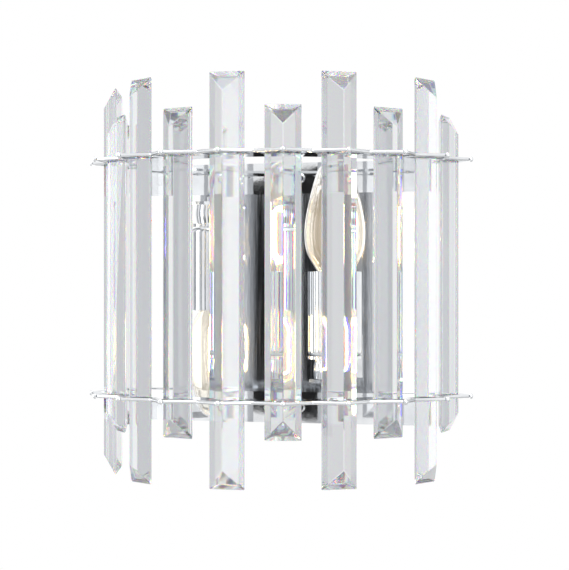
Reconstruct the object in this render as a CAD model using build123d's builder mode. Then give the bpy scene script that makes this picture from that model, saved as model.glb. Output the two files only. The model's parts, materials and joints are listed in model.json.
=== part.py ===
from build123d import *
import os
from math import atan2, cos, radians, sin

os.makedirs("parts", exist_ok=True)

# Half-round crystal wall sconce with two candle lamps, one hanging and one standing.
# The wall is the plane Y = 0, the light stands out towards -Y, and +Z is up.
# All sizes are in millimetres and angles in degrees.

# Wall pan
pan_width = 106.0
pan_height = 152.0
pan_depth = 24.0
pan_sheet = 1.2
pan_corner = 1.5

# Wall strap, studs and cap nuts
strap_width = 24.0
strap_length = 108.0
strap_sheet = 2.0
strap_corner = 4.0
slot_spacing = 52.0
slot_width = 5.2
slot_length = 12.0
cable_hole = 12.0
stud_diameter = 4.0
stud_spacing = 80.0
stud_grip = 7.2
stud_hole_clearance = 1.0
washer_diameter = 10.0
washer_thickness = 1.0
washer_clearance = 0.6
cap_nut_flats = 8.0
cap_nut_skirt = 5.0
cap_nut_dome = 7.4
cap_nut_wall = 1.6
cap_nut_clearance = 0.4
cap_nut_head_room = 1.0

# Cage of crystal bars round an upright axis in front of the wall
wall_gap = 28.0
crystal_count = 11
crystal_step = 18.0
crystal_radius = 97.0
crystal_width = 19.7
crystal_edge = 1.2
ridge_height = 7.8
back_height = 2.8
back_table = 10.4
long_length = 224.0
long_offset = -2.0
short_length = 179.5
short_offset = 2.2
front_bevel = 11.0
back_bevel = 3.9

# Shelves that carry the crystals
shelf_sheet = 1.5
shelf_half_span = 90.0
skirt_height = 18.0
band_width = 21.0
band_gap = 0.4
tab_width = 6.0
weld_gap = 0.1

# Zigzag retaining wires
wire_diameter = 2.0
wire_bend = 3.0
wire_nose_gap = 4.8
wire_dip = 8.8
wire_sink = 0.4

# Pins from the wires through the crystals, with a bead in front and a collar behind
pin_diameter = 1.8
pin_hole_clearance = 0.5
bead_diameter = 3.2
bead_height = 1.5
braze_gap = 0.3
collar_diameter = 4.0
collar_length = 2.3
collar_gap = 0.15
collar_clearance = 0.1

# Rivets
rivet_diameter = 3.0
rivet_head_diameter = 5.5
rivet_head_height = 1.2
rivet_head_slope = 35.0
rivet_clearance = 0.2
shelf_rivet_spacing = 20.0
bracket_rivet_spacing = 17.0
bracket_rivet_drop = 20.0

# Lamp places
lamp_pitch = 72.0
lamp_stand_off = 19.0
lamp_pair_height = 1.0
lamp_reach = 50.0

# Lamp brackets
bracket_sheet = 1.8
bracket_width = 23.4
bracket_leg = 25.0
tongue_overhang = 12.0

# Neck cups between bracket and sleeve
neck_diameter = 24.4
neck_length = 11.0
neck_crown = 0.5
neck_taper = 0.8

# Lampholders
core_diameter = 18.0
holder_diameter = 22.0
holder_length = 54.0
holder_floor = 24.0
nipple_diameter = 6.2
nipple_length = 5.6
nipple_clearance = 0.2
holder_nut_flats = 10.0
holder_nut_height = 3.0
seat_gap = 0.1
insert_wall = 0.55
insert_clearance = 0.1
insert_start = 28.0
insert_length = 24.0
contact_plate_diameter = 6.0
contact_plate_height = 1.2

# Candle sleeves and their retaining rings
sleeve_diameter = 31.0
sleeve_wall = 1.0
sleeve_flange = 2.0
sleeve_groove = 25.0
sleeve_head = 6.4
sleeve_length = 50.0
sleeve_clearance = 0.2
ring_diameter = 27.2
ring_height = 4.0

# Candle bulbs with small screw caps
contact_diameter = 4.8
contact_height = 1.5
contact_gap = 0.3
cap_diameter = 13.5
cap_clearance = 0.35
cap_cone = 3.0
cap_length = 22.0
cap_socket_depth = 8.0
bulb_wall = 0.8
bulb_neck_diameter = 12.4
bulb_neck_length = 10.0
bulb_mouth_diameter = 20.0
bulb_shoulder_diameter = 32.0
bulb_diameter = 34.8
bulb_taper_diameter = 31.0
bulb_crown_diameter = 20.6
bulb_mouth = 61.0
bulb_shoulder = 72.0
bulb_waist = 84.0
bulb_taper = 98.0
bulb_crown = 117.5
bulb_tip = 125.0
stem_diameter = 4.2
stem_top = 66.0
stem_flare_height = 7.0
stem_clearance = 0.2
filament_diameter = 1.3
filament_half_width = 4.2
filament_start = 72.0
filament_end = 98.0
filament_bend = 3.0
filament_foot = 1.2
filament_riser = 2.0

# Leads, grommets and the terminal block inside the pan
lead_diameter = 4.0
lead_bend = 6.0
lead_gap = 0.2
grommet_hole = 7.0
grommet_flange = 10.0
grommet_lip = 1.2
grommet_clearance = 0.15
block_width = 26.0
block_depth = 12.0
block_height = 18.0
block_screw = 3.0
block_ways = 3

# Places worked out from the sizes above
ridge_radius = crystal_radius + ridge_height
back_radius = crystal_radius - back_height
apex_radius = ridge_radius + wire_nose_gap + wire_diameter / 2
dip_radius = apex_radius - wire_dip
band_outer = back_radius - collar_gap - collar_length - band_gap
band_inner = band_outer - band_width
tab_end = dip_radius - wire_diameter / 2 - weld_gap
shelf_tops = {"upper": pan_height / 2, "lower": skirt_height - pan_height / 2}
shelf_spacing = shelf_tops["upper"] - shelf_tops["lower"]
pin_middle = (shelf_tops["upper"] + shelf_tops["lower"]) / 2 - wire_sink
half_fan = crystal_step * (crystal_count - 1) / 2
crystal_angles = [crystal_step * index - half_fan for index in range(crystal_count)]
lamp_offset = pan_depth + lamp_stand_off
lead_drop = neck_length / 2
sleeve_start = neck_length + seat_gap
sleeve_bore = sleeve_diameter - 2 * sleeve_wall
shoulder_start = sleeve_start + sleeve_flange
shoulder_end = shoulder_start + (sleeve_diameter - sleeve_groove) / 2
head_end = sleeve_start + sleeve_head
insert_bore = cap_diameter + 2 * cap_clearance
insert_diameter = insert_bore + 2 * insert_wall
holder_bore = insert_diameter + 2 * insert_clearance
contact_start = holder_floor + contact_plate_height + contact_gap
cap_start = contact_start + contact_height
cap_end = cap_start + cap_length
neck_start = cap_end - cap_socket_depth
rivet_hole = rivet_diameter + 2 * rivet_clearance
wall_face = Plane.XZ
pan_face = Plane.XZ.offset(pan_depth)
pan_back = Plane.XZ.offset(pan_depth - pan_sheet)


def save(piece, name):
    """Label a finished piece and write it under its own name."""
    piece.part.label = name
    export_step(piece.part, f"parts/{name}.step")


def cage_point(radius, angle):
    """Point on a circle about the cage axis, with angle 0 straight out from the wall."""
    turn = radians(angle)
    return (radius * sin(turn), -wall_gap - radius * cos(turn))


def cage_plane(angle, height):
    """Level plane on the cage axis whose X points outwards at the angle."""
    turn = radians(angle)
    outwards = (sin(turn), -cos(turn), 0)
    return Plane(origin=(0, -wall_gap, height), x_dir=outwards, z_dir=(0, 0, 1))


def upright_plane(angle, height):
    """Upright plane through the cage axis, X outwards at the angle and Y up."""
    level = cage_plane(angle, height)
    return Plane(origin=level.origin, x_dir=level.x_dir, z_dir=-level.y_dir)


# Wall strap with two slots for the wall screws
with BuildPart() as wall_strap:
    with BuildSketch(wall_face):
        RectangleRounded(strap_width, strap_length, strap_corner)
        Circle(cable_hole / 2, mode=Mode.SUBTRACT)
        with Locations((0, slot_spacing / 2), (0, -slot_spacing / 2)):
            SlotOverall(slot_length, slot_width, rotation=90, mode=Mode.SUBTRACT)
    extrude(amount=strap_sheet)
save(wall_strap, "wall_strap")

stud_places = [(0, stud_spacing / 2), (0, -stud_spacing / 2)]
stud_end = pan_depth + washer_thickness + stud_grip

with BuildPart() as strap_studs:
    with BuildSketch(wall_face.offset(strap_sheet)):
        with Locations(*stud_places):
            Circle(stud_diameter / 2)
    extrude(amount=stud_end - strap_sheet)
save(strap_studs, "strap_studs")

# Lamp places: the left lamp hangs down and the right lamp stands up
lamps = {"left": (-lamp_pitch / 2, -1), "right": (lamp_pitch / 2, 1)}


def lamp_foot(side):
    """Place of the lamp's foot on its bracket, and the way it points, up or down."""
    across, way = lamps[side]
    return across, lamp_pair_height - way * lamp_reach, way


def lamp_plane(side):
    """Plane through the lamp axis: X across, Y along the lamp from foot to tip."""
    across, foot, way = lamp_foot(side)
    return Plane(origin=(across, -lamp_offset, foot), x_dir=(1, 0, 0), z_dir=(0, -way, 0))


def turned(side, outline):
    """Solid of revolution about a lamp's axis from (radius, height) points."""
    axis_plane = lamp_plane(side)
    with BuildPart() as piece:
        with BuildSketch(axis_plane):
            with BuildLine():
                Polyline(*outline, close=True)
            make_face()
        revolve(axis=Axis(axis_plane.origin, axis_plane.y_dir))
    return piece


def lead_place(side):
    """Place on the pan face where the lamp's lead goes through."""
    across, foot, way = lamp_foot(side)
    return across, foot + way * lead_drop


def bracket_rivet_places(side):
    """Places on the pan face of the two rivets of a lamp bracket."""
    across, foot, way = lamp_foot(side)
    height = foot + way * bracket_rivet_drop
    return [(across + end * bracket_rivet_spacing / 2, height) for end in (-1, 1)]


def shelf_rivet_places(level):
    """Places on the pan face of the two rivets of a shelf."""
    height = shelf_tops[level] - skirt_height / 2
    return [(end * shelf_rivet_spacing / 2, height) for end in (-1, 1)]


bracket_rivets_at = [place for side in lamps for place in bracket_rivet_places(side)]
shelf_rivets_at = [place for level in shelf_tops for place in shelf_rivet_places(level)]

# Wall pan, open at the back, that hides the strap and the wiring
with BuildPart() as wall_pan:
    with BuildSketch(wall_face):
        RectangleRounded(pan_width, pan_height, pan_corner)
    extrude(amount=pan_depth)
    with BuildSketch(wall_face):
        RectangleRounded(pan_width - 2 * pan_sheet, pan_height - 2 * pan_sheet, pan_corner / 2)
    extrude(amount=pan_depth - pan_sheet, mode=Mode.SUBTRACT)
    with BuildSketch(pan_face):
        with Locations(*stud_places):
            Circle((stud_diameter + stud_hole_clearance) / 2)
        with Locations(*bracket_rivets_at, *shelf_rivets_at):
            Circle(rivet_hole / 2)
        with Locations(*[lead_place(side) for side in lamps]):
            Circle(grommet_hole / 2)
    extrude(amount=-pan_sheet, mode=Mode.SUBTRACT)
save(wall_pan, "wall_pan")

# Captive washers and cap nuts that clamp the pan to the studs
for level, place in zip(shelf_tops, stud_places):
    with BuildPart() as nut_washer:
        with BuildSketch(pan_face):
            with Locations(place):
                Circle(washer_diameter / 2)
                Circle((stud_diameter + washer_clearance) / 2, mode=Mode.SUBTRACT)
        extrude(amount=washer_thickness)
    save(nut_washer, f"{level}_nut_washer")

    nut_seat = pan_face.offset(washer_thickness)
    nut_bore = stud_diameter + cap_nut_clearance
    bore_depth = stud_grip + cap_nut_head_room
    nut_height = bore_depth + cap_nut_wall
    dome_radius = cap_nut_dome / 2
    dome_centre = nut_height - dome_radius
    nut_axis = Plane(origin=nut_seat.from_local_coords((*place, 0)), x_dir=(1, 0, 0), z_dir=(0, 0, 1))
    with BuildPart() as cap_nut:
        with BuildSketch(nut_seat):
            with Locations(place):
                RegularPolygon(cap_nut_flats / 2, 6, major_radius=False)
        extrude(amount=cap_nut_skirt)
        with BuildSketch(nut_axis):
            with BuildLine():
                Line((0, -cap_nut_skirt), (dome_radius, -cap_nut_skirt))
                Line((dome_radius, -cap_nut_skirt), (dome_radius, -dome_centre))
                CenterArc((0, -dome_centre), dome_radius, 270, 90)
                Line((0, -nut_height), (0, -cap_nut_skirt))
            make_face()
        revolve(axis=Axis(nut_axis.origin, (0, -1, 0)))
        with BuildSketch(nut_seat):
            with Locations(place):
                Circle(nut_bore / 2)
        extrude(amount=bore_depth, mode=Mode.SUBTRACT)
    save(cap_nut, f"{level}_cap_nut")

# Shelves: a half-round band with tabs to the wire, and a straight skirt on the pan
skirt_front = pan_depth + shelf_sheet
band_depth = skirt_front - wall_gap
tab_length = tab_end - band_inner - band_width / 2
tab_count = crystal_count - 1
tab_start = -90 - half_fan + crystal_step / 2

for level, top in shelf_tops.items():
    with BuildPart() as shelf:
        with BuildSketch(Plane.XY.offset(top - shelf_sheet).move(Location((0, -wall_gap, 0)))):
            Circle(band_outer)
            Circle(band_inner, mode=Mode.SUBTRACT)
            with Locations((0, -band_depth)):
                Rectangle(
                    3 * band_outer, 3 * band_outer, align=(Align.CENTER, Align.MIN), mode=Mode.SUBTRACT
                )
            with PolarLocations(
                tab_end - tab_length / 2, tab_count, start_angle=tab_start, angular_range=tab_count * crystal_step
            ):
                Rectangle(tab_length, tab_width)
        extrude(amount=shelf_sheet)
        with BuildSketch(pan_face):
            with Locations((0, top - skirt_height / 2)):
                Rectangle(2 * shelf_half_span, skirt_height)
            with Locations(*shelf_rivet_places(level)):
                Circle(rivet_hole / 2, mode=Mode.SUBTRACT)
        extrude(amount=shelf_sheet)
    save(shelf, f"{level}_shelf")

# Zigzag wires: an apex in front of each crystal and a dip at each tab
half_step = radians(crystal_step / 2)
lean = atan2(apex_radius - dip_radius * cos(half_step), dip_radius * sin(half_step))
apex_corner = apex_radius + wire_bend * (1 / cos(lean) - 1)
dip_corner = dip_radius - wire_bend * (1 / cos(lean - half_step) - 1)
wire_end = pan_width / 2 + weld_gap
first_dip = half_fan + crystal_step / 2

for level, top in shelf_tops.items():
    height = top - wire_sink
    corners = [cage_point(dip_corner, -first_dip)]
    for angle in crystal_angles:
        corners.append(cage_point(apex_corner, angle))
        corners.append(cage_point(dip_corner, angle + crystal_step / 2))
    tail_left = (-wire_end, corners[0][1])
    tail_right = (wire_end, corners[-1][1])
    route = [(x, y, height) for x, y in [tail_left, *corners, tail_right]]
    with BuildPart() as retaining_wire:
        with BuildLine():
            FilletPolyline(*route, radius=wire_bend)
        with BuildSketch(Plane(origin=route[0], x_dir=(0, 1, 0), z_dir=(-1, 0, 0))):
            Circle(wire_diameter / 2)
        sweep()
    save(retaining_wire, f"{level}_retaining_wire")

# Pins on the wires' apexes, each with a bead in front of the wire and a collar behind the crystal
pin_front = apex_radius - wire_diameter / 2 - braze_gap
bead_seat = apex_radius + wire_diameter / 2 + weld_gap
collar_outer = back_radius - collar_gap
pin_back = collar_outer - collar_length

for level, top in shelf_tops.items():
    height = top - wire_sink
    with BuildPart() as crystal_pins:
        for angle in crystal_angles:
            pin_plane = upright_plane(angle, height)
            with BuildSketch(pin_plane):
                with Locations(((pin_front + pin_back) / 2, pin_diameter / 4)):
                    Rectangle(pin_front - pin_back, pin_diameter / 2)
                with BuildLine():
                    Polyline((bead_seat + bead_height, 0), (bead_seat, 0), (bead_seat, bead_diameter / 2))
                    EllipticalCenterArc((bead_seat, 0), bead_height, bead_diameter / 2, 0, arc_size=90)
                make_face()
            revolve(axis=Axis(pin_plane.origin, pin_plane.x_dir))
    save(crystal_pins, f"{level}_crystal_pins")

    with BuildPart() as pin_collars:
        for angle in crystal_angles:
            pin_plane = upright_plane(angle, height)
            collar_face = Plane(
                origin=pin_plane.from_local_coords((collar_outer, 0, 0)),
                x_dir=pin_plane.y_dir,
                z_dir=-pin_plane.x_dir,
            )
            with BuildSketch(collar_face):
                Circle(collar_diameter / 2)
                Circle((pin_diameter + collar_clearance) / 2, mode=Mode.SUBTRACT)
            extrude(amount=collar_length)
    save(pin_collars, f"{level}_pin_collars")


def crystal_bar(length, offset, angle):
    """Bar with its ridge outwards, a bevelled flat table behind and roof-cut ends, bored for its two pins."""
    level = cage_plane(angle, pin_middle + offset)
    upright = upright_plane(angle, pin_middle + offset)
    half_width = crystal_width / 2
    half_edge = crystal_edge / 2
    half_table = back_table / 2
    top = length / 2
    ridge_end = crystal_radius + 2 * ridge_height
    back_end = crystal_radius - 2 * back_height
    ridge_top = top - 2 * front_bevel
    back_top = top - 2 * back_bevel
    with BuildPart() as bar:
        with BuildSketch(level):
            with BuildLine():
                Polyline(
                    (ridge_radius, 0),
                    (crystal_radius + half_edge, half_width),
                    (crystal_radius - half_edge, half_width),
                    (back_radius, half_table),
                    (back_radius, -half_table),
                    (crystal_radius - half_edge, -half_width),
                    (crystal_radius + half_edge, -half_width),
                    close=True,
                )
            make_face()
        extrude(amount=top, both=True)
        with BuildSketch(upright):
            with BuildLine():
                Polyline(
                    (crystal_radius, top),
                    (ridge_end, ridge_top),
                    (ridge_end, -ridge_top),
                    (crystal_radius, -top),
                    (back_end, -back_top),
                    (back_end, back_top),
                    close=True,
                )
            make_face()
        extrude(amount=crystal_width, both=True, mode=Mode.INTERSECT)
        for rise in (-shelf_spacing / 2, shelf_spacing / 2):
            bore_start = upright.from_local_coords((back_end, rise - offset, 0))
            with BuildSketch(Plane(origin=bore_start, x_dir=upright.y_dir, z_dir=upright.x_dir)):
                Circle((pin_diameter + pin_hole_clearance) / 2)
            extrude(amount=ridge_end - back_end, mode=Mode.SUBTRACT)
    return bar


# Crystal bars, short at both ends of the fan and long and short in turn
for index, angle in enumerate(crystal_angles):
    if index % 2:
        save(crystal_bar(long_length, long_offset, angle), f"long_crystal_{index // 2 + 1}")
    else:
        save(crystal_bar(short_length, short_offset, angle), f"short_crystal_{index // 2 + 1}")


def rivets(places, sheets):
    """Domed rivets through the pan and the sheets in front of it, closed behind the pan."""
    with BuildPart() as group:
        with BuildSketch(pan_face.offset(sheets)):
            with Locations(*places):
                Circle(rivet_diameter / 2)
        extrude(amount=-(sheets + pan_sheet + rivet_head_height))
        for start, way in ((sheets, 1), (-pan_sheet, -1)):
            with BuildSketch(pan_face.offset(start)):
                with Locations(*places):
                    Circle(rivet_head_diameter / 2)
            extrude(amount=way * rivet_head_height, taper=rivet_head_slope)
    return group


save(rivets(shelf_rivets_at, shelf_sheet), "shelf_rivets")
save(rivets(bracket_rivets_at, bracket_sheet), "bracket_rivets")

# Terminal block on the back of the pan face
with BuildPart() as terminal_block:
    with BuildSketch(pan_back):
        Rectangle(block_width, block_height)
    extrude(amount=-block_depth)
    with BuildSketch(pan_back.offset(-block_depth)):
        with GridLocations(block_width / block_ways, 0, block_ways, 1):
            Circle(block_screw / 2)
    extrude(amount=block_depth / 2, mode=Mode.SUBTRACT)
save(terminal_block, "terminal_block")

# Lamps
tongue_end = lamp_stand_off + tongue_overhang

for side in lamps:
    across, foot, way = lamp_foot(side)

    # Bracket: a leg on the pan face and a tongue that carries the lamp
    bend_plane = Plane(origin=(across, -pan_depth, foot), x_dir=(0, -1, 0), z_dir=(-way, 0, 0))
    with BuildPart() as bracket:
        with BuildSketch(bend_plane):
            with BuildLine():
                Polyline(
                    (0, -bracket_sheet),
                    (tongue_end, -bracket_sheet),
                    (tongue_end, 0),
                    (bracket_sheet, 0),
                    (bracket_sheet, bracket_leg),
                    (0, bracket_leg),
                    close=True,
                )
            make_face()
        extrude(amount=bracket_width / 2, both=True)
        with BuildSketch(pan_face):
            with Locations(lead_place(side)):
                Circle(grommet_hole / 2)
            with Locations(*bracket_rivet_places(side)):
                Circle(rivet_hole / 2)
        extrude(amount=bracket_sheet, mode=Mode.SUBTRACT)
        with BuildSketch(Plane(origin=(across, -lamp_offset, foot), z_dir=(0, 0, -way))):
            Circle(nipple_diameter / 2 + nipple_clearance)
        extrude(amount=bracket_sheet, mode=Mode.SUBTRACT)
    save(bracket, f"{side}_lamp_bracket")

    # Neck cup: a crowned ring round the lampholder's core
    cup_plane = lamp_plane(side)
    cup_bore = core_diameter / 2 + seat_gap
    cup_foot = neck_diameter / 2 - neck_crown
    cup_rim = neck_diameter / 2 - neck_taper
    with BuildPart() as neck_cup:
        with BuildSketch(cup_plane):
            with BuildLine():
                Polyline((cup_rim, neck_length), (cup_bore, neck_length), (cup_bore, 0), (cup_foot, 0))
                ThreePointArc((cup_foot, 0), (neck_diameter / 2, neck_length / 2), (cup_rim, neck_length))
            make_face()
        revolve(axis=Axis(cup_plane.origin, cup_plane.y_dir))
    save(neck_cup, f"{side}_neck_cup")

    # Lampholder: a nipple through the tongue, a core and a bored barrel
    holder = turned(side, [
        (0, -nipple_length),
        (nipple_diameter / 2, -nipple_length),
        (nipple_diameter / 2, 0),
        (core_diameter / 2, 0),
        (core_diameter / 2, neck_length),
        (holder_diameter / 2, neck_length),
        (holder_diameter / 2, holder_length),
        (holder_bore / 2, holder_length),
        (holder_bore / 2, holder_floor),
        (0, holder_floor),
    ])
    save(holder, f"{side}_lampholder")

    nut_plane = Plane(
        origin=(across, -lamp_offset, foot - way * (bracket_sheet + seat_gap)), z_dir=(0, 0, -way)
    )
    with BuildPart() as holder_nut:
        with BuildSketch(nut_plane):
            RegularPolygon(holder_nut_flats / 2, 6, major_radius=False)
            Circle(nipple_diameter / 2 + nipple_clearance, mode=Mode.SUBTRACT)
        extrude(amount=holder_nut_height)
    save(holder_nut, f"{side}_holder_nut")

    screw_shell = turned(side, [
        (insert_bore / 2, insert_start),
        (insert_diameter / 2, insert_start),
        (insert_diameter / 2, insert_start + insert_length),
        (insert_bore / 2, insert_start + insert_length),
    ])
    save(screw_shell, f"{side}_screw_shell")

    contact_plate = turned(side, [
        (0, holder_floor),
        (contact_plate_diameter / 2, holder_floor),
        (contact_plate_diameter / 2, holder_floor + contact_plate_height),
        (0, holder_floor + contact_plate_height),
    ])
    save(contact_plate, f"{side}_contact_plate")

    # Candle sleeve, clamped between the neck cup and a ring on the barrel
    sleeve_hole = holder_diameter / 2 + sleeve_clearance
    sleeve_end = sleeve_start + sleeve_length
    sleeve_outer = sleeve_diameter / 2
    shoulder = (sleeve_diameter - sleeve_groove) / 2
    sleeve_plane = lamp_plane(side)
    with BuildPart() as sleeve:
        with BuildSketch(sleeve_plane):
            with BuildLine():
                CenterArc((sleeve_groove / 2, shoulder_end), shoulder, -90, 90)
                Polyline(
                    (sleeve_outer, shoulder_end),
                    (sleeve_outer, sleeve_end),
                    (sleeve_bore / 2, sleeve_end),
                    (sleeve_bore / 2, head_end),
                    (sleeve_hole, head_end),
                    (sleeve_hole, sleeve_start),
                    (sleeve_outer, sleeve_start),
                    (sleeve_outer, shoulder_start),
                    (sleeve_groove / 2, shoulder_start),
                )
            make_face()
        revolve(axis=Axis(sleeve_plane.origin, sleeve_plane.y_dir))
    save(sleeve, f"{side}_candle_sleeve")

    ring_start = head_end + seat_gap
    sleeve_ring = turned(side, [
        (holder_diameter / 2 + seat_gap, ring_start),
        (ring_diameter / 2, ring_start),
        (ring_diameter / 2, ring_start + ring_height),
        (holder_diameter / 2 + seat_gap, ring_start + ring_height),
    ])
    save(sleeve_ring, f"{side}_sleeve_ring")

    # Bulb: centre contact, screw cap, glass, stem and filament
    bulb_contact = turned(side, [
        (0, contact_start),
        (contact_diameter / 2, contact_start),
        (contact_diameter / 2, cap_start),
        (0, cap_start),
    ])
    save(bulb_contact, f"{side}_bulb_contact")

    bulb_cap = turned(side, [
        (0, cap_start),
        (contact_diameter / 2, cap_start),
        (cap_diameter / 2, cap_start + cap_cone),
        (cap_diameter / 2, cap_end),
        (bulb_neck_diameter / 2 + seat_gap, cap_end),
        (bulb_neck_diameter / 2 + seat_gap, neck_start),
        (0, neck_start),
    ])
    save(bulb_cap, f"{side}_bulb_cap")

    glass_plane = lamp_plane(side)
    profile = [
        (bulb_neck_diameter / 2, neck_start + bulb_neck_length),
        (bulb_mouth_diameter / 2, bulb_mouth),
        (bulb_shoulder_diameter / 2, bulb_shoulder),
        (bulb_diameter / 2, bulb_waist),
        (bulb_taper_diameter / 2, bulb_taper),
        (bulb_crown_diameter / 2, bulb_crown),
    ]
    inner_profile = [(radius - bulb_wall, height) for radius, height in profile]
    neck_outer = (bulb_neck_diameter / 2, neck_start + seat_gap)
    neck_inner = (bulb_neck_diameter / 2 - bulb_wall, neck_start + seat_gap)
    with BuildPart() as bulb_glass:
        with BuildSketch(glass_plane):
            with BuildLine():
                Line(neck_outer, profile[0])
                Spline(*profile, (0, bulb_tip), tangents=((0, 1), (-1, 0)))
                Line((0, bulb_tip), (0, bulb_tip - bulb_wall))
                Spline(*inner_profile, (0, bulb_tip - bulb_wall), tangents=((0, 1), (-1, 0)))
                Line(inner_profile[0], neck_inner)
                Line(neck_inner, neck_outer)
            make_face()
        revolve(axis=Axis(glass_plane.origin, glass_plane.y_dir))
    save(bulb_glass, f"{side}_bulb_glass")

    flare = bulb_neck_diameter / 2 - bulb_wall - stem_clearance
    stem_foot = neck_start + seat_gap
    bulb_stem = turned(side, [
        (0, stem_foot),
        (flare, stem_foot),
        (flare, stem_foot + stem_diameter / 2),
        (stem_diameter / 2, stem_foot + stem_flare_height),
        (stem_diameter / 2, stem_top),
        (0, stem_top),
    ])
    save(bulb_stem, f"{side}_bulb_stem")

    legs = [
        (filament_foot, stem_top),
        (filament_foot, stem_top + filament_riser),
        (filament_half_width, filament_start),
        (filament_half_width, filament_end),
    ]
    hairpin = [(-x, height) for x, height in legs] + list(reversed(legs))
    with BuildPart() as bulb_filament:
        with BuildLine(glass_plane) as hairpin_line:
            FilletPolyline(*hairpin, radius=filament_bend)
        with BuildSketch(Plane(hairpin_line.line ^ 0)):
            Circle(filament_diameter / 2)
        sweep()
    save(bulb_filament, f"{side}_bulb_filament")

    # Lead from the lampholder's neck through a grommet to the terminal block
    lead_across, lead_height = lead_place(side)
    block_middle = pan_depth - pan_sheet - block_depth / 2
    block_side = (block_width / 2 + lead_gap) * (1 if across > 0 else -1)
    lead_start = lamp_offset - neck_diameter / 2 - lead_gap
    entry = -way * block_height / 4
    lead_route = [
        (lead_across, -lead_start, lead_height),
        (lead_across, -block_middle, lead_height),
        (lead_across, -block_middle, entry),
        (block_side, -block_middle, entry),
    ]
    with BuildPart() as lamp_lead:
        with BuildLine():
            FilletPolyline(*lead_route, radius=lead_bend)
        with BuildSketch(Plane(origin=lead_route[0], z_dir=(0, 1, 0))):
            Circle(lead_diameter / 2)
        sweep()
    save(lamp_lead, f"{side}_lamp_lead")

    grommet_front = pan_face.offset(bracket_sheet)
    with BuildPart() as lead_grommet:
        for face, lip in ((grommet_front, grommet_lip), (pan_back, -grommet_lip)):
            with BuildSketch(face):
                with Locations((lead_across, lead_height)):
                    Circle(grommet_flange / 2)
            extrude(amount=lip)
        with BuildSketch(grommet_front):
            with Locations((lead_across, lead_height)):
                Circle(grommet_hole / 2 - grommet_clearance)
        extrude(amount=-(bracket_sheet + pan_sheet))
        with BuildSketch(grommet_front.offset(grommet_lip)):
            with Locations((lead_across, lead_height)):
                Circle(lead_diameter / 2 + grommet_clearance)
        extrude(amount=-(bracket_sheet + pan_sheet + 2 * grommet_lip), mode=Mode.SUBTRACT)
    save(lead_grommet, f"{side}_lead_grommet")
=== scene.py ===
"""Half-round crystal wall sconce: finishes, smooth turned shells and a plain white studio."""
import json
import math

import bmesh
import bpy
import numpy as np
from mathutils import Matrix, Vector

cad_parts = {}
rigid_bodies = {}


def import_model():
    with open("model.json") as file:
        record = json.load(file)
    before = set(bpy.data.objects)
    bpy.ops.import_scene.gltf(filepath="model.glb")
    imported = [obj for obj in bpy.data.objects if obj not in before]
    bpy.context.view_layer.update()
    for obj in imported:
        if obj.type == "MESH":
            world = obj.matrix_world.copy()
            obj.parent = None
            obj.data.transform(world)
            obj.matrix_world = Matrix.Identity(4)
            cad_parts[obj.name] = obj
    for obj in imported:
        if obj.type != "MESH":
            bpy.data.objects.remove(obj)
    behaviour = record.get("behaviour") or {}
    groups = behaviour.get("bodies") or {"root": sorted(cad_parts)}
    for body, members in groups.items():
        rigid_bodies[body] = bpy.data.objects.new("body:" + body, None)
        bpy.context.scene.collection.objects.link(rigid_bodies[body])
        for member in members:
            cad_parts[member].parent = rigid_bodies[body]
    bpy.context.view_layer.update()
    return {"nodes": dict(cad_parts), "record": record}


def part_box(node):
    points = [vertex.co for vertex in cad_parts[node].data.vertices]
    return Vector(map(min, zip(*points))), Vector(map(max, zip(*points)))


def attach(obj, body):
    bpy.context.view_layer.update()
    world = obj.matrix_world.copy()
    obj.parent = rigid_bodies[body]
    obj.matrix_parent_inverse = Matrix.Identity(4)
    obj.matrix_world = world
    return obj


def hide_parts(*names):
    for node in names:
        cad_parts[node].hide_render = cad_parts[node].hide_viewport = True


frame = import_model()
record = frame["record"]
scene = bpy.context.scene
MM = 0.001

# Camera, fitted to the photograph
PHOTO_WIDTH = 569
PHOTO_HEIGHT = 570
FOCAL_PX = 1860
AXIS_PX = 283
HORIZON_PX = 292.8
CAMERA_TURN = math.radians(18)
CAMERA_DISTANCE = 1.087
SENSOR_MM = 36.0

# Cage of crystal bars
CAGE_AXIS_Y = -28 * MM
CRYSTAL_STEP = math.radians(18)
CRYSTAL_COUNTS = {"long": 5, "short": 6}
CRYSTAL_RADIUS = 97 * MM
CRYSTAL_WIDTH = 19.7 * MM
CRYSTAL_EDGE = 1.2 * MM
RIDGE_HEIGHT = 7.8 * MM
BACK_HEIGHT = 2.8 * MM
BACK_TABLE = 10.4 * MM
FRONT_BEVEL = 11 * MM
BACK_BEVEL = 3.9 * MM
CRYSTAL_ARRIS = 0.3 * MM
CRYSTAL_IORS = (1.53, 1.55, 1.575)
CRYSTAL_FIRE = 0.4

# Candle bulbs: radius and height above the lamp's foot
BULB_WALL = 0.8 * MM
BULB_FOOT = 41.1 * MM
BULB_OUTLINE = np.array([
    (6.2, 51), (10, 61), (16, 72), (17.4, 84), (15.5, 98), (10.3, 117.5), (5.6, 122.6),
    (0.6, 124.95), (0, 125),
]) * MM
BULB_CROWN_START = 112 * MM
BULB_INNER_TIP = 0.3 * MM
# Painted warm glow on the bulb glass: the filaments' middles, where the glow fades, its colour and strength
GLOW_CENTRES = [(-36 * MM, -43 * MM, -34 * MM), (36 * MM, -43 * MM, 36 * MM)]
GLOW_NEAR = 17 * MM
GLOW_FAR = 36 * MM
GLOW_COLOUR = "#FFE9C8"
GLOW_LEVEL = 0.1
FILAMENT_LEVEL = 150.0

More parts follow.
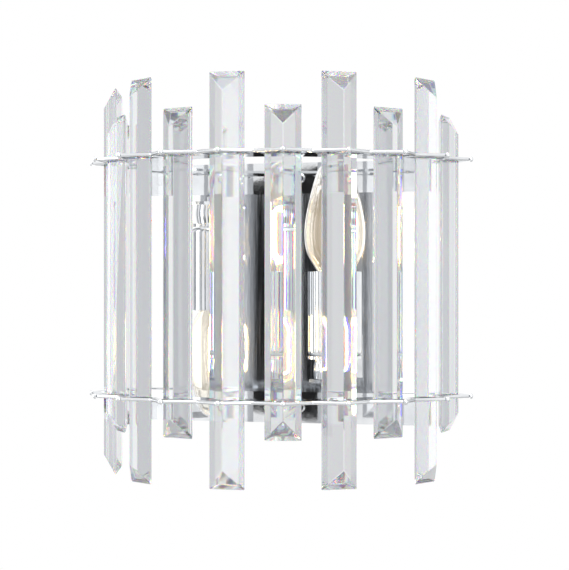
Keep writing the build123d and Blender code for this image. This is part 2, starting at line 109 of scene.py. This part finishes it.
# Candle sleeves and neck cups: radius and height above the lamp's foot
SLEEVE_START = 11.1 * MM
SLEEVE_END = 61.1 * MM
SLEEVE_RADIUS = 15.5 * MM
SLEEVE_WALL = 1 * MM
SLEEVE_HOLE = 11.2 * MM
SLEEVE_FLANGE = 2 * MM
SLEEVE_SHOULDER = 3 * MM
SLEEVE_HEAD = 6.4 * MM
CUP_BORE = 9.1 * MM
CUP_RADIUS = 12.2 * MM
CUP_FOOT = 11.7 * MM
CUP_RIM = 11.4 * MM
CUP_HEIGHT = 11 * MM
TURNED_ARRIS = 0.2 * MM

# Mesh fineness
TURNED_SIDES = 128
CURVE_STEPS = 10
SHOULDER_STEPS = 13
ARRIS_STEPS = 2
ARRIS_ANGLE = 20
CUT_SMOOTHING = 1
TURNED_SMOOTHING = 35
MERGE_DISTANCE = 1e-7

# Finishes
NOISE_DETAIL = 4.0
NOISE_SPAN = (0.3, 0.7)
BUMP_STRENGTH = 0.6
GLASS_GRAIN = 4.0
EVEN = (1, 1, 1)
UPRIGHT_LINES = (1, 1, 36)
WHITE = (1, 1, 1, 1)
BLACK = (0, 0, 0, 1)

# Studio: lengths in metres, levels where 1 is white, and edges as the cosine of the angle off a direction
FLOOR_LEVEL = -0.45
FLOOR_RADIUS = 1.2
FLOOR_SIDES = 96
FLAT_RADIUS = 2.2
FLAT_FOOT = (-0.19, -0.24)
FLAT_TOP = (0.17, 0.24)
FLAT_FROM = math.radians(-21.6)
FLAT_TO = math.radians(-14.6)
FLAT_STEPS = 24
LAMP_AIM = (0, -0.05, 0)
ROOM_COLOUR = "#D3D4D7"
SOFT_COLOUR = "#F4F6F8"
SOFT_LEVEL = 0.55
LOW_LEVEL = 0.3
LOW_EDGES = (-0.1, -0.3)
MIRROR_LEVEL = 1.2
FRONT_LEVEL = 1.5
FRONT_EDGES = (0.78, 0.92)
BACKDROP_EDGES = (0.86, 0.99)
LIGHT_BOUNCES = 24
GLOSSY_BOUNCES = 16


def linear(code):
    """Linear colour with alpha from an sRGB hex code."""
    srgb = np.array([int(code[i:i + 2], 16) for i in (1, 3, 5)]) / 255
    low = srgb / 12.92
    high = ((srgb + 0.055) / 1.055) ** 2.4
    return (*np.where(srgb <= 0.04045, low, high), 1.0)


def add(tree, kind, inputs=None, **settings):
    """Add a node, set its properties, and set or link its inputs."""
    made = tree.nodes.new(kind)
    for name, value in settings.items():
        setattr(made, name, value)
    for name, value in (inputs or {}).items():
        if isinstance(value, bpy.types.NodeSocket):
            tree.links.new(value, made.inputs[name])
        else:
            made.inputs[name].default_value = value
    return made


def new_material(name):
    """Empty material and its node tree."""
    material = bpy.data.materials.new(name)
    material.use_nodes = True
    material.node_tree.nodes.clear()
    return material, material.node_tree


def mottled(tree, grain_mm, low, high, stretch=EVEN, span=NOISE_SPAN):
    """Noise on Object coordinates with a grain in millimetres, spread between two values or colours."""
    coords = add(tree, "ShaderNodeTexCoord")
    per_metre = tuple(1 / (grain_mm * MM * longer) for longer in stretch)
    mapping = add(tree, "ShaderNodeMapping", {"Vector": coords.outputs["Object"], "Scale": per_metre})
    noise = add(tree, "ShaderNodeTexNoise", {
        "Vector": mapping.outputs[0], "Scale": 1.0, "Detail": NOISE_DETAIL,
    })
    ranged = add(tree, "ShaderNodeMapRange", {
        "Value": noise.outputs["Fac"], "From Min": span[0], "From Max": span[1],
    })
    if isinstance(low, str):
        mix = add(tree, "ShaderNodeMix", {
            0: ranged.outputs[0], 6: linear(low), 7: linear(high),
        }, data_type="RGBA")
        return mix.outputs[2]
    ranged.inputs["To Min"].default_value = low
    ranged.inputs["To Max"].default_value = high
    return ranged.outputs[0]


def finish_material(material, tree, shader):
    """Show a shader on the material's surface."""
    add(tree, "ShaderNodeOutputMaterial", {"Surface": shader})
    return material


def surface(name, colours, roughness, colour_grain, rough_grain, bump_grain, bump_mm,
            stretch=EVEN, span=NOISE_SPAN, **sockets):
    """Principled material whose colour, roughness and bump vary with noise of real grain sizes."""
    material, tree = new_material(name)
    colour = mottled(tree, colour_grain, *colours, stretch=stretch, span=span)
    rough = mottled(tree, rough_grain, *roughness, stretch=stretch)
    height = mottled(tree, bump_grain, 0.0, 1.0, stretch=stretch)
    bump = add(tree, "ShaderNodeBump", {
        "Height": height, "Strength": BUMP_STRENGTH, "Distance": bump_mm * MM,
    })
    shader = add(tree, "ShaderNodeBsdfPrincipled", {
        "Base Color": colour, "Roughness": rough, "Normal": bump.outputs[0], **sockets,
    })
    return finish_material(material, tree, shader.outputs[0])


def clear_to_lamps(material, tree, shader):
    """Show a glass shader that lets lamp light straight through."""
    path = add(tree, "ShaderNodeLightPath")
    clear = add(tree, "ShaderNodeBsdfTransparent", {"Color": linear("#F2F2F0")})
    mix = add(tree, "ShaderNodeMixShader", {
        0: path.outputs["Is Shadow Ray"], 1: shader, 2: clear.outputs[0],
    })
    return finish_material(material, tree, mix.outputs[0])


def painted_glow_near_filament(tree, shader):
    """Painted warm glow: emission on a glass shader that fades out with distance from the nearer filament."""
    coords = add(tree, "ShaderNodeTexCoord")
    left, right = [
        add(tree, "ShaderNodeVectorMath", {0: coords.outputs["Object"], 1: centre}, operation="DISTANCE")
        for centre in GLOW_CENTRES
    ]
    nearest = add(tree, "ShaderNodeMath", {
        0: left.outputs["Value"], 1: right.outputs["Value"],
    }, operation="MINIMUM")
    fade = add(tree, "ShaderNodeMapRange", {
        "Value": nearest.outputs[0], "From Min": GLOW_NEAR, "From Max": GLOW_FAR,
    }, interpolation_type="SMOOTHSTEP")
    painted_glow_colour = add(tree, "ShaderNodeMix", {
        0: fade.outputs[0], 6: linear(GLOW_COLOUR), 7: BLACK,
    }, data_type="RGBA")
    tree.links.new(painted_glow_colour.outputs[2], shader.inputs["Emission Color"])
    shader.inputs["Emission Strength"].default_value = GLOW_LEVEL


def glass(name, colours, colour_grain, ior, roughness, glowing=False):
    """Clear glass with a faint tint that drifts, with a painted warm glow from within if it is a bulb's."""
    material, tree = new_material(name)
    shader = add(tree, "ShaderNodeBsdfPrincipled", {
        "Base Color": mottled(tree, colour_grain, *colours),
        "Roughness": mottled(tree, GLASS_GRAIN, *roughness),
        "IOR": ior, "Transmission Weight": 1.0,
    })
    if glowing:
        painted_glow_near_filament(tree, shader)
    return clear_to_lamps(material, tree, shader.outputs[0])


def cut_crystal(name, colours, colour_grain, roughness):
    """Clear glass that splits a share of the light entering it into red, green and blue, bent unequally."""
    material, tree = new_material(name)
    colour = mottled(tree, colour_grain, *colours)
    rough = mottled(tree, GLASS_GRAIN, *roughness)
    plain = add(tree, "ShaderNodeBsdfPrincipled", {
        "Base Color": colour, "Roughness": rough, "IOR": CRYSTAL_IORS[1], "Transmission Weight": 1.0,
    })
    channels = add(tree, "ShaderNodeSeparateColor", {0: colour})
    bent = []
    for channel, ior in enumerate(CRYSTAL_IORS):
        one = add(tree, "ShaderNodeCombineColor", {channel: channels.outputs[channel]})
        bent.append(add(tree, "ShaderNodeBsdfGlass", {
            "Color": one.outputs[0], "Roughness": rough, "IOR": ior,
        }))
    pair = add(tree, "ShaderNodeAddShader", {0: bent[0].outputs[0], 1: bent[1].outputs[0]})
    spread = add(tree, "ShaderNodeAddShader", {0: pair.outputs[0], 1: bent[2].outputs[0]})
    path = add(tree, "ShaderNodeLightPath")
    entering = add(tree, "ShaderNodeMath", {0: path.outputs["Ray Depth"], 1: 1.0}, operation="LESS_THAN")
    share = add(tree, "ShaderNodeMath", {0: entering.outputs[0], 1: CRYSTAL_FIRE}, operation="MULTIPLY")
    mix = add(tree, "ShaderNodeMixShader", {0: share.outputs[0], 1: plain.outputs[0], 2: spread.outputs[0]})
    return clear_to_lamps(material, tree, mix.outputs[0])


def glowing_filament():
    """Phosphor strip, warm white and a little uneven along its length."""
    material, tree = new_material("glowing_filament_phosphor")
    colour = mottled(tree, 2.0, "#FFC870", "#FFE0A0")
    shader = add(tree, "ShaderNodeBsdfPrincipled", {
        "Base Color": colour, "Roughness": 0.5, "Emission Color": colour, "Emission Strength": FILAMENT_LEVEL,
    })
    return finish_material(material, tree, shader.outputs[0])


# Each finish is named for its real material. After the colours and the range of roughness come the grains of
# colour, roughness and bump and the bump's depth, all in millimetres.
materials = {
    # Electroplated chrome on polished sheet and wire: near-white mirror with a faint orange-peel.
    "polished_chrome": surface("polished_chrome_plate", ("#D0D2D5", "#DEE0E2"), (0.02, 0.05),
                               14, 6, 9, 0.004, Metallic=1.0),
    # Chrome on linished sheet, coloured darker than the polished chrome as painted shade of the dark room it
    # mirrors: fine upright polishing lines break the mirror into streaks.
    "pan_chrome": surface("linished_chrome_sheet_painted_shade", ("#9DA0A4", "#C4C6CA"), (0.05, 0.12),
                          0.4, 0.9, 0.7, 0.004, stretch=UPRIGHT_LINES, span=(0.45, 0.8), Metallic=1.0),
    # Cut and polished lead crystal: clear, bright edges, the faintest grey drift.
    "lead_crystal": cut_crystal("cut_lead_crystal", ("#EDEEEF", "#F0F1F2"), 60, (0.0, 0.006)),
    # Bright zinc on mild steel: cool grey with a soft spangle.
    "zinc_steel": surface("zinc_plated_steel", ("#A9ADB2", "#C6C9CC"), (0.25, 0.4),
                          5, 3, 2, 0.02, Metallic=1.0),
    # Moulded white thermoset plastic with a light gloss.
    "holder_plastic": surface("moulded_white_thermoset", ("#DEDBD3", "#E8E6E0"), (0.3, 0.42),
                              8, 3, 1.2, 0.02, IOR=1.5),
    # Spring brass, lightly handled.
    "contact_brass": surface("spring_brass", ("#B8924A", "#D2AE66"), (0.2, 0.35),
                             4, 2, 1.5, 0.01, Metallic=1.0),
    # Tin solder blob, dull.
    "bulb_solder": surface("tin_solder", ("#8E8F90", "#A7A8A8"), (0.4, 0.55),
                           1.5, 1, 0.8, 0.03, Metallic=1.0),
    # Rolled nickel-plated brass cap, warm grey.
    "bulb_nickel": surface("nickel_plated_cap", ("#B4AFA2", "#C9C5BA"), (0.18, 0.3),
                           3, 2, 1, 0.01, Metallic=1.0),
    # Thin blown soda glass, with a painted warm glow near the filament.
    "bulb_glass": glass("blown_soda_glass", ("#FEFBF4", "#FFFEFA"), 20, 1.5, (0.0, 0.02), glowing=True),
    # Pressed glass stem.
    "stem_glass": glass("pressed_stem_glass", ("#F4F2E8", "#FAF8F0"), 6, 1.52, (0.0, 0.02)),
    "filament_phosphor": glowing_filament(),
    # Silicone-jacketed lead, soft and matt.
    "lead_jacket": surface("silicone_lead_jacket", ("#DEDDD8", "#E9E8E4"), (0.5, 0.65),
                           3, 2, 0.8, 0.02, IOR=1.43),
    # Soft black rubber, slightly bloomed.
    "grommet_rubber": surface("soft_black_rubber", ("#141414", "#202020"), (0.6, 0.75),
                              2, 2, 0.8, 0.03, IOR=1.52),
    # Natural nylon, milky.
    "terminal_plastic": surface("natural_nylon", ("#D6D2C4", "#E2DFD3"), (0.35, 0.5),
                                4, 3, 1, 0.02, IOR=1.53),
}

slot_of = {entry["node"]: entry["material_slot"] for entry in record["subparts"]}
body_of = {node: body for body, group in record["behaviour"]["bodies"].items() for node in group}
for node, slot in slot_of.items():
    mesh = frame["nodes"][node].data
    mesh.materials.clear()
    mesh.materials.append(materials[slot])


def stand_for(node, vertices, faces, smoothing, arris=0.0):
    """New piece from arrays that takes a CAD node's place, body and finish."""
    mesh = bpy.data.meshes.new(f"{node}_shell")
    mesh.from_pydata(vertices.tolist(), [], faces)
    shell = bmesh.new()
    shell.from_mesh(mesh)
    bmesh.ops.remove_doubles(shell, verts=shell.verts, dist=MERGE_DISTANCE)
    bmesh.ops.recalc_face_normals(shell, faces=shell.faces)
    shell.to_mesh(mesh)
    shell.free()
    mesh.shade_smooth()
    mesh.set_sharp_from_angle(angle=math.radians(smoothing))
    piece = bpy.data.objects.new(f"{node}_shell", mesh)
    scene.collection.objects.link(piece)
    if arris:
        bevel = piece.modifiers.new("ground_arris", "BEVEL")
        bevel.width = arris
        bevel.segments = ARRIS_STEPS
        bevel.limit_method = "ANGLE"
        bevel.angle_limit = math.radians(ARRIS_ANGLE)
    mesh.materials.append(materials[slot_of[node]])
    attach(piece, body_of[node])
    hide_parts(node)


def crystal_bar(node, turn):
    """Nine-cornered section carried up the bar, with a ridge in front and a flat table behind.

    Each corner stops short of the bar's end in proportion to its distance from the edge line, so one slope
    cuts the front of each end and another cuts its back.
    """
    low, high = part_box(node)
    middle = (low.z + high.z) / 2
    half_length = (high.z - low.z) / 2
    side = CRYSTAL_WIDTH / 2
    flat = CRYSTAL_EDGE / 2
    table = BACK_TABLE / 2
    section = np.array([
        (RIDGE_HEIGHT, 0), (flat, side), (0, side), (-flat, side), (-BACK_HEIGHT, table),
        (-BACK_HEIGHT, -table), (-flat, -side), (0, -side), (flat, -side),
    ])
    count = len(section)
    out, across = section.T
    drop = np.where(out > 0, out * FRONT_BEVEL / RIDGE_HEIGHT, -out * BACK_BEVEL / BACK_HEIGHT)
    reach = CRYSTAL_RADIUS + out
    x = reach * math.sin(turn) + across * math.cos(turn)
    y = CAGE_AXIS_Y - reach * math.cos(turn) + across * math.sin(turn)
    rings = [np.column_stack([x, y, middle + way * (half_length - drop)]) for way in (-1, 1)]
    walls = [(i, (i + 1) % count, count + (i + 1) % count, count + i) for i in range(count)]
    ends = [(0, 1, 2, 7, 8), (2, 3, 4, 5, 6, 7)]
    caps = [tuple(base + corner for corner in end) for base in (0, count) for end in ends]
    stand_for(node, np.vstack(rings), walls + caps, CUT_SMOOTHING, CRYSTAL_ARRIS)


def smooth_line(points):
    """Curve through the points: a cubic between neighbours whose slopes come from the points either side."""
    ends = np.vstack([2 * points[0] - points[1], points, 2 * points[-1] - points[-2]])
    before, start, stop, after = ends[:-3, None], ends[1:-2, None], ends[2:-1, None], ends[3:, None]
    t = np.linspace(0, 1, CURVE_STEPS, endpoint=False)[None, :, None]
    leave, arrive = (stop - before) / 2, (after - start) / 2
    curve = ((2 * t**3 - 3 * t**2 + 1) * start + (t**3 - 2 * t**2 + t) * leave
             + (3 * t**2 - 2 * t**3) * stop + (t**3 - t**2) * arrive)
    return np.vstack([curve.reshape(-1, 2), points[-1:]])


def turned_shell(node, outline, closed, arris=0.0):
    """Outline of radius and height carried round the lamp's axis, upright or hanging as its node is."""
    side = node.split("_")[0]
    low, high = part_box(f"{side}_candle_sleeve")
    way = 1 if side == "right" else -1
    start = (low.z if way > 0 else high.z) - way * SLEEVE_START
    angles = np.linspace(0, 2 * math.pi, TURNED_SIDES, endpoint=False)
    radius, height = outline[:, 0, None], outline[:, 1, None]
    grid = np.stack([
        (low.x + high.x) / 2 + radius * np.cos(angles),
        (low.y + high.y) / 2 + radius * np.sin(angles),
        start + way * height + 0 * angles,
    ], axis=-1)
    rows = len(outline)
    first = np.arange(rows if closed else rows - 1)[:, None] * TURNED_SIDES
    here = np.arange(TURNED_SIDES)[None, :]
    beside = (here + 1) % TURNED_SIDES
    above = (first + TURNED_SIDES) % (rows * TURNED_SIDES)
    faces = np.stack([first + here, first + beside, above + beside, above + here], axis=-1)
    stand_for(node, grid.reshape(-1, 3), faces.reshape(-1, 4).tolist(), TURNED_SMOOTHING, arris)


def candle_sleeve(side):
    """Tube with a thick head: a square flange, then a quarter circle out to the straight wall."""
    bend = np.linspace(-math.pi / 2, 0, SHOULDER_STEPS)[:, None]
    centre = np.array([SLEEVE_RADIUS - SLEEVE_SHOULDER, SLEEVE_START + SLEEVE_FLANGE + SLEEVE_SHOULDER])
    shoulder = centre + SLEEVE_SHOULDER * np.hstack([np.cos(bend), np.sin(bend)])
    bore = SLEEVE_RADIUS - SLEEVE_WALL
    turned_shell(f"{side}_candle_sleeve", np.vstack([
        [(SLEEVE_HOLE, SLEEVE_START), (SLEEVE_RADIUS, SLEEVE_START)],
        [(SLEEVE_RADIUS, SLEEVE_START + SLEEVE_FLANGE)],
        shoulder,
        [(SLEEVE_RADIUS, SLEEVE_END), (bore, SLEEVE_END)],
        [(bore, SLEEVE_START + SLEEVE_HEAD), (SLEEVE_HOLE, SLEEVE_START + SLEEVE_HEAD)],
    ]), closed=True, arris=TURNED_ARRIS)


def neck_cup(side):
    """Ring with a straight bore, crowned outside by a curve through foot, middle and rim."""
    crowned = np.array([(CUP_FOOT, 0), (CUP_RADIUS, CUP_HEIGHT / 2), (CUP_RIM, CUP_HEIGHT)])
    turned_shell(f"{side}_neck_cup", np.vstack([
        [(CUP_BORE, 0)], smooth_line(crowned), [(CUP_BORE, CUP_HEIGHT)],
    ]), closed=True, arris=TURNED_ARRIS)


def bulb_glass(side):
    """Candle outline as a smooth curve, with an inner wall the same shape set in by the glass thickness."""
    outer = np.vstack([[(BULB_OUTLINE[0, 0], BULB_FOOT)], smooth_line(BULB_OUTLINE)])
    inner = outer - np.array([BULB_WALL, 0])
    inner[:, 1] -= np.where(inner[:, 1] > BULB_CROWN_START, BULB_WALL / 2, 0)
    inner = inner[inner[:, 0] > BULB_INNER_TIP]
    inner = np.vstack([inner, [(0, BULB_OUTLINE[-1, 1] - BULB_WALL)]])
    turned_shell(f"{side}_bulb_glass", np.vstack([outer[::-1], inner]), closed=False)


for length, count in CRYSTAL_COUNTS.items():
    for index in range(count):
        crystal_bar(f"{length}_crystal_{index + 1}", (2 * index - (count - 1)) * CRYSTAL_STEP)

for side in ("left", "right"):
    candle_sleeve(side)
    neck_cup(side)
    bulb_glass(side)

# The lamps stay out of the chrome's mirror images, all but their glowing filaments
for thing in bpy.data.objects:
    if thing.name.startswith(("left_", "right_")) and "filament" not in thing.name:
        thing.visible_glossy = False


def stage_mesh(name, vertices, faces, material):
    """Studio surface from arrays, which isn't part of the light."""
    mesh = bpy.data.meshes.new(name)
    mesh.from_pydata(vertices.tolist(), [], faces)
    mesh.materials.append(material)
    thing = bpy.data.objects.new(name, mesh)
    scene.collection.objects.link(thing)
    return thing


# Round floor
rim = np.linspace(0, 2 * math.pi, FLOOR_SIDES, endpoint=False)
floor_rim = np.column_stack([FLOOR_RADIUS * np.cos(rim), FLOOR_RADIUS * np.sin(rim), 0 * rim + FLOOR_LEVEL])
pale_floor = surface("pale_studio_floor", ("#ECECEB", "#F2F2F1"), (0.6, 0.7), 40, 20, 5, 0.05)
stage_mesh("floor", floor_rim, [tuple(range(FLOOR_SIDES))], pale_floor)

# Dark flat with slanting edges, on an arc in front, which only the chrome shows
sweep = np.linspace(FLAT_FROM, FLAT_TO, FLAT_STEPS)
flat_x = FLAT_RADIUS * np.sin(sweep)
flat_y = -FLAT_RADIUS * np.cos(sweep)
flat_edges = [
    np.column_stack([flat_x, flat_y, np.linspace(*edge, FLAT_STEPS)]) for edge in (FLAT_FOOT, FLAT_TOP)
]
flat_faces = [(i, i + 1, FLAT_STEPS + i + 1, FLAT_STEPS + i) for i in range(FLAT_STEPS - 1)]
black_cloth = surface("black_studio_cloth", ("#0A0A0B", "#141416"), (0.9, 1.0), 10, 10, 5, 0.1)
dark_flat = stage_mesh("dark_flat", np.vstack(flat_edges), flat_faces, black_cloth)
dark_flat.visible_camera = False
dark_flat.visible_transmission = False


def area_lamp(name, place, size, watts):
    """White softbox turned from its place towards the light, left out of what glass lets through."""
    lamp = bpy.data.lights.new(name, "AREA")
    lamp.shape = "RECTANGLE"
    lamp.size, lamp.size_y = size
    lamp.energy = watts
    thing = bpy.data.objects.new(name, lamp)
    thing.location = place
    direction = np.array(LAMP_AIM) - np.array(place)
    thing.rotation_euler = (
        math.acos(-direction[2] / np.linalg.norm(direction)), 0,
        math.atan2(direction[1], direction[0]) - math.pi / 2,
    )
    thing.visible_transmission = False
    scene.collection.objects.link(thing)


area_lamp("top_softbox", (0.1, -0.5, 1.2), (1.2, 0.8), 9)
area_lamp("right_softbox", (1.1, -0.9, 0.3), (0.5, 1.2), 7)
area_lamp("left_softbox", (-1.2, -0.5, 0.3), (0.5, 1.2), 6)


def turning_towards(tree, ray, direction, edges):
    """Weight that grows from 0 to 1 as a ray turns towards a direction."""
    facing = add(tree, "ShaderNodeVectorMath", {0: ray, 1: direction}, operation="DOT_PRODUCT")
    weight = add(tree, "ShaderNodeMapRange", {
        "Value": facing.outputs["Value"], "From Min": edges[0], "From Max": edges[1],
    }, interpolation_type="SMOOTHSTEP")
    return weight.outputs[0]


# White studio: glass shows grey walls that brighten to a white backdrop and a bright front, darker low down
world = bpy.data.worlds.new("white_studio")
scene.world = world
world.use_nodes = True
tree = world.node_tree
tree.nodes.clear()
ray = add(tree, "ShaderNodeTexCoord").outputs["Generated"]
behind = (-math.sin(CAMERA_TURN), math.cos(CAMERA_TURN), 0)
in_front = (-math.sin(CAMERA_TURN), -math.cos(CAMERA_TURN), 0)
walls = add(tree, "ShaderNodeMix", {
    0: turning_towards(tree, ray, behind, BACKDROP_EDGES), 6: linear(ROOM_COLOUR), 7: WHITE,
}, data_type="RGBA")
room = add(tree, "ShaderNodeMix", {
    0: turning_towards(tree, ray, in_front, FRONT_EDGES), 6: walls.outputs[2],
    7: (FRONT_LEVEL, FRONT_LEVEL, FRONT_LEVEL, 1),
}, data_type="RGBA")
height = add(tree, "ShaderNodeSeparateXYZ", {0: ray}).outputs["Z"]
room_level = add(tree, "ShaderNodeMapRange", {
    "Value": height, "From Min": LOW_EDGES[0], "From Max": LOW_EDGES[1], "To Min": 1.0, "To Max": LOW_LEVEL,
}, interpolation_type="SMOOTHSTEP")

shown = add(tree, "ShaderNodeBackground", {"Color": linear(SOFT_COLOUR), "Strength": SOFT_LEVEL})
studio = add(tree, "ShaderNodeBackground", {"Color": room.outputs[2], "Strength": room_level.outputs[0]})
mirrored = add(tree, "ShaderNodeBackground", {"Color": WHITE, "Strength": MIRROR_LEVEL})
white = add(tree, "ShaderNodeBackground", {"Color": WHITE, "Strength": 1.0})
path = add(tree, "ShaderNodeLightPath")
for kind, seen in (("Glossy", mirrored), ("Transmission", studio), ("Camera", white)):
    shown = add(tree, "ShaderNodeMixShader", {
        0: path.outputs[f"Is {kind} Ray"], 1: shown.outputs[0], 2: seen.outputs[0],
    })
add(tree, "ShaderNodeOutputWorld", {"Surface": shown.outputs[0]})

# Camera
lens = bpy.data.cameras.new("camera")
lens.sensor_fit = "HORIZONTAL"
lens.sensor_width = SENSOR_MM
lens.lens = FOCAL_PX / PHOTO_WIDTH * SENSOR_MM
lens.shift_x = (PHOTO_WIDTH / 2 - AXIS_PX) / PHOTO_WIDTH
lens.shift_y = (HORIZON_PX - PHOTO_HEIGHT / 2) / PHOTO_WIDTH
camera = bpy.data.objects.new("camera", lens)
camera.location = (
    CAMERA_DISTANCE * math.sin(CAMERA_TURN), CAGE_AXIS_Y - CAMERA_DISTANCE * math.cos(CAMERA_TURN), 0,
)
camera.rotation_euler = (math.pi / 2, 0, CAMERA_TURN)
scene.collection.objects.link(camera)
scene.camera = camera

scene.view_settings.view_transform = "Standard"
scene.cycles.max_bounces = LIGHT_BOUNCES
scene.cycles.transmission_bounces = LIGHT_BOUNCES
scene.cycles.glossy_bounces = GLOSSY_BOUNCES
